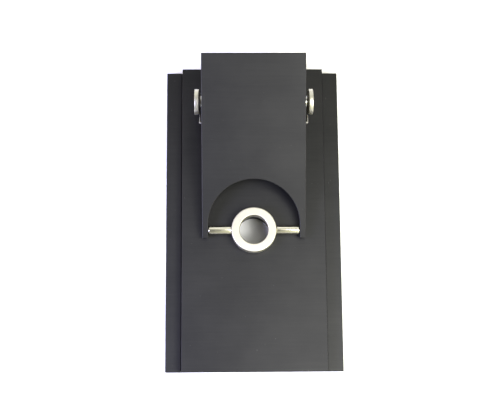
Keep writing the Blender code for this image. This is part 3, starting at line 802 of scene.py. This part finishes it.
# ---------------------------------------------------------------- lever and its bearing


def make_lever(look):
    half = LEVER_WIDTH / 2
    outline = [(half, LEVER_FRONT), (half, LEVER_REAR), (-half, LEVER_REAR), (-half, LEVER_FRONT)]
    outline.append((-CUTOUT_RADIUS, LEVER_FRONT))
    outline += arc((0, LEVER_FRONT + CUTOUT_SETBACK), CUTOUT_RADIUS, 180, 0, 120)
    outline.append((CUTOUT_RADIUS, LEVER_FRONT))
    shape = prism(outline, LEVER_UNDERSIDE, LEVER_TOP, lambda a, b, height: (a, b, height))
    pins = moved(
        hole(RING_PIN_DIA + 2 * CLEARANCE, -half, half, PIN_HOLE_RIM, "X", 32),
        (0, LEVER_FRONT + RING_SETBACK, LEVER_MIDDLE),
    )
    cuts = [pins]
    for side, _ in SIDES:
        bottom = side * (half - LEVER_WIRE_HOLE_DEPTH)
        hook = blind_hole(WIRE_HOLE_DIA, side * half, bottom, WIRE_HOLE_RIM, "X")
        cuts.append(moved(hook, (0, HOOK_U, LEVER_MIDDLE)))
    shape = moved(shape, LEVER_FRAME)
    cuts = [moved(cut, LEVER_FRAME) for cut in cuts]
    made = evened(piece("lever_arm", shape, look, LEVER_EDGE, cuts))
    stand_in(made, "lever_plate", "lever")


def make_block(look):
    top = LEVER_UNDERSIDE
    foot = BLOCK_FOOT_W
    boss = BLOCK_BOSS_RADIUS
    bend_at = (boss + BLOCK_FILLET, foot - BLOCK_FILLET)
    rear = arc((0, 0), boss, 270, 360, 24)
    rear += arc(bend_at, BLOCK_FILLET, 180, 90, 8)
    rear += [(BLOCK_FOOT_HALF_LENGTH, foot), (BLOCK_FOOT_HALF_LENGTH, top)]
    outline = rear + [(-u, w) for u, w in reversed(rear[1:])]
    width = BLOCK_HALF_WIDTH
    shape = prism(outline, -width, width, lambda a, b, height: (height, a, b))
    bore = hole(BUSH_DIA, -width, width, BLOCK_BORE_RIM, "X", 64)
    made = evened(piece("bearing", moved(shape, LEVER_FRAME), look, POST_EDGE, [moved(bore, LEVER_FRAME)]))
    stand_in(made, "bearing_block", "lever")


def make_block_screws(look):
    seat = BLOCK_FOOT_W
    length = LEVER_UNDERSIDE + BLOCK_SCREW_BITE - seat
    for side, side_name in SIDES:
        for end, end_name in ENDS:
            label = f"{side_name}_{end_name}"
            made = cap_screw("bearing_screw_" + label, look, M2_5_SCREW, length)
            at = Matrix.Translation((side * BLOCK_SCREW_X, end * BLOCK_SCREW_U, seat))
            made.matrix_world = LEVER_FRAME @ at
            stand_in(made, "block_screw_" + label, "lever")


def make_bush(label, side, look):
    """A flanged bush: the barrel sits in the block, the flange faces the post."""
    flange, edge = BLOCK_HALF_WIDTH, BUSH_EDGE
    start, end = flange - BUSH_LENGTH, flange + BUSH_FLANGE + BUSH_FACE_GAP
    bore = AXLE_DIA / 2 + CLEARANCE / 2
    rim = BUSH_FLANGE_DIA / 2
    profile = [(start, bore), (start, BUSH_DIA / 2), (flange, BUSH_DIA / 2), (flange, rim)]
    profile += [(end - edge + edge * math.sin(a), rim - edge + edge * math.cos(a)) for a in quarter(3)]
    profile += [(end, bore + edge), (end - edge, bore)]
    shape = turned([(side * along, radius) for along, radius in profile], 96, "X", closed=True)
    made = piece("bush_" + label, moved(shape, LEVER_FRAME), look)
    stand_in(made, "axle_bush_" + label, "lever")


# ---------------------------------------------------------------- ring


def make_ring(look):
    half, outer, inner, edge = RING_HEIGHT / 2, RING_OUTER_DIA / 2, RING_BORE_DIA / 2, RING_EDGE
    profile = [(half - edge + edge * math.sin(a), outer - edge + edge * math.cos(a)) for a in quarter(5)]
    profile += grooves(half, outer - edge, inner + edge, -1)
    profile += [(half - edge + edge * math.cos(a), inner + edge - edge * math.sin(a)) for a in quarter(5)]
    profile += [(-half + edge - edge * math.sin(a), inner + edge - edge * math.cos(a)) for a in quarter(5)]
    profile += grooves(-half, inner + edge, outer - edge, 1)
    profile += [(-half + edge - edge * math.cos(a), outer - edge + edge * math.sin(a)) for a in quarter(5)]
    made = piece("ring", turned(profile, 192, closed=True), look)
    made.location = RING_CENTRE
    stand_in(made, "pressure_ring", "ring")


def make_ring_arm(label, side, pin_look, sleeve_look):
    """A pin from the ring into the prong, and the polished sleeve round it."""
    outer = RING_OUTER_DIA / 2
    ends = sorted((side * (outer - RING_PIN_DEPTH), side * (LEVER_WIDTH / 2 - RING_PIN_RECESS)))
    shape = turned(rounded_shaft(*ends, RING_PIN_DIA / 2, RING_PIN_EDGE), 48, "X")
    pin = piece("pin_" + label, shape, pin_look)
    pin.location = RING_CENTRE
    stand_in(pin, "ring_pin_" + label, "ring")
    ends = sorted((side * (outer - CLEARANCE), side * (CUTOUT_RADIUS - CLEARANCE)))
    shape = turned(rounded_shaft(*ends, SLEEVE_DIA / 2, SLEEVE_EDGE, 6), 96, "X")
    sleeve = piece("sleeve_" + label, shape, sleeve_look)
    sleeve.location = RING_CENTRE
    stand_in(sleeve, "ring_sleeve_" + label, "ring")


# ---------------------------------------------------------------- stage


def make_floor(look):
    mesh_edit = bmesh.new()
    bmesh.ops.create_grid(mesh_edit, x_segments=1, y_segments=1, size=FLOOR_REACH)
    floor = to_object("floor", mesh_edit)
    floor.data.materials.append(look)


def make_world():
    """A room with pale walls and broad soft lights, each a lobe of light round its own direction."""
    world = bpy.data.worlds.new("white_room")
    world.use_nodes = True
    tree = world.node_tree
    way = node(tree, "ShaderNodeTexCoord").outputs["Generated"]
    light = None
    for zenith, bearing, sharpness, colour in SOFT_LIGHTS:
        slant, turn = math.radians(zenith), math.radians(bearing)
        toward = (math.sin(slant) * math.cos(turn), math.sin(slant) * math.sin(turn), math.cos(slant))
        facing = node(tree, "ShaderNodeVectorMath", {0: way, 1: toward}, operation="DOT_PRODUCT")
        lobe = maths(tree, "POWER", maths(tree, "MAXIMUM", facing.outputs["Value"], 0.0), sharpness)
        inputs = {0: colour, "Scale": lobe}
        part = node(tree, "ShaderNodeVectorMath", inputs, operation="SCALE").outputs[0]
        if light is None:
            light = part
        else:
            light = node(tree, "ShaderNodeVectorMath", {0: light, 1: part}, operation="ADD").outputs[0]
    height = node(tree, "ShaderNodeSeparateXYZ", {0: way}).outputs["Z"]
    low = maths(tree, "SUBTRACT", 1.0, maths(tree, "MAXIMUM", height, 0.0))
    inputs = {0: WALL_LIGHT, "Scale": maths(tree, "POWER", low, WALL_SHARPNESS)}
    walls = node(tree, "ShaderNodeVectorMath", inputs, operation="SCALE").outputs[0]
    for part in (walls, ROOM_LIGHT):
        light = node(tree, "ShaderNodeVectorMath", {0: light, 1: part}, operation="ADD").outputs[0]
    seen = node(tree, "ShaderNodeLightPath").outputs["Is Camera Ray"]
    background = tree.nodes["Background"]
    tree.links.new(mixed(tree, seen, light, (1.0, 1.0, 1.0)), background.inputs["Color"])
    bpy.context.scene.world = world


def make_softbox(zenith, bearing, power, colour):
    """A soft light near the holder, turned towards it."""
    slant, turn = math.radians(zenith), math.radians(bearing)
    toward = Vector((math.sin(slant) * math.cos(turn), math.sin(slant) * math.sin(turn), math.cos(slant)))
    light = bpy.data.lights.new("softbox", "AREA")
    light.size = SOFTBOX_SIZE
    light.energy = power
    light.color = colour
    softbox = bpy.data.objects.new("softbox", light)
    bpy.context.scene.collection.objects.link(softbox)
    softbox.location = toward * SOFTBOX_DISTANCE + Vector((0, 0, LAND_TOP))
    softbox.rotation_euler = toward.to_track_quat("Z", "Y").to_euler()


def make_camera():
    """Nearly overhead, a little to the front and left, turned so that the holder stands upright."""
    tilt, bearing = CAMERA_TILT, CAMERA_BEARING
    flat = math.sin(tilt)
    ahead = Vector((flat * math.cos(bearing), flat * math.sin(bearing), -math.cos(tilt)))
    right = ahead.cross(Vector((0, 1, 0))).normalized()
    up = right.cross(ahead)
    camera = bpy.data.objects.new("camera", bpy.data.cameras.new("camera"))
    bpy.context.scene.collection.objects.link(camera)
    turn = Matrix((right, up, -ahead)).transposed().to_4x4() @ Matrix.Rotation(-CAMERA_ROLL, 4, "Z")
    camera.matrix_world = Matrix.Translation(Vector(CAMERA_TARGET) - ahead * CAMERA_DISTANCE) @ turn
    camera.data.lens = CAMERA_LENS
    camera.data.sensor_fit = "HORIZONTAL"
    camera.data.clip_start = 1.0 * MM
    camera.data.clip_end = 20.0
    bpy.context.scene.camera = camera


def build():
    anodised = anodised_finish("anodised", BASE_TONE)
    anodised_lever = anodised_finish("anodised_lever", LEVER_TONE)
    ring_bright = turned_finish("bright_nickel", (0.50, 0.485, 0.40), "Z", 0.50, 0.15)
    cap_bright = turned_finish("cap_nickel", (0.56, 0.545, 0.46), "X", 0.40, 0.3)
    shaft_bright = turned_finish("shaft_nickel", (0.76, 0.75, 0.70), "X", 0.2, 0.4)
    polished = turned_finish("polished_steel", (0.72, 0.695, 0.58), "X", 0.20, 0.3)
    wire, black, bronze = wire_finish(), black_finish(), bronze_finish()

    make_base(anodised)
    make_post_screws(black)
    make_grub(black)
    make_axle(shaft_bright)
    for side, label in SIDES:
        make_post(label, side, anodised)
        make_cap(label, side, cap_bright)
        make_spring(label, side, wire)
        make_bush(label, side, bronze)
        make_ring_arm(label, side, shaft_bright, polished)
    make_lever(anodised_lever)
    make_block(anodised)
    make_block_screws(black)
    make_ring(ring_bright)


def main():
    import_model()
    build()
    make_floor(paper_finish())
    make_world()
    for softbox in SOFTBOXES:
        make_softbox(*softbox)
    make_camera()
    bpy.context.scene.view_settings.view_transform = "Standard"


main()
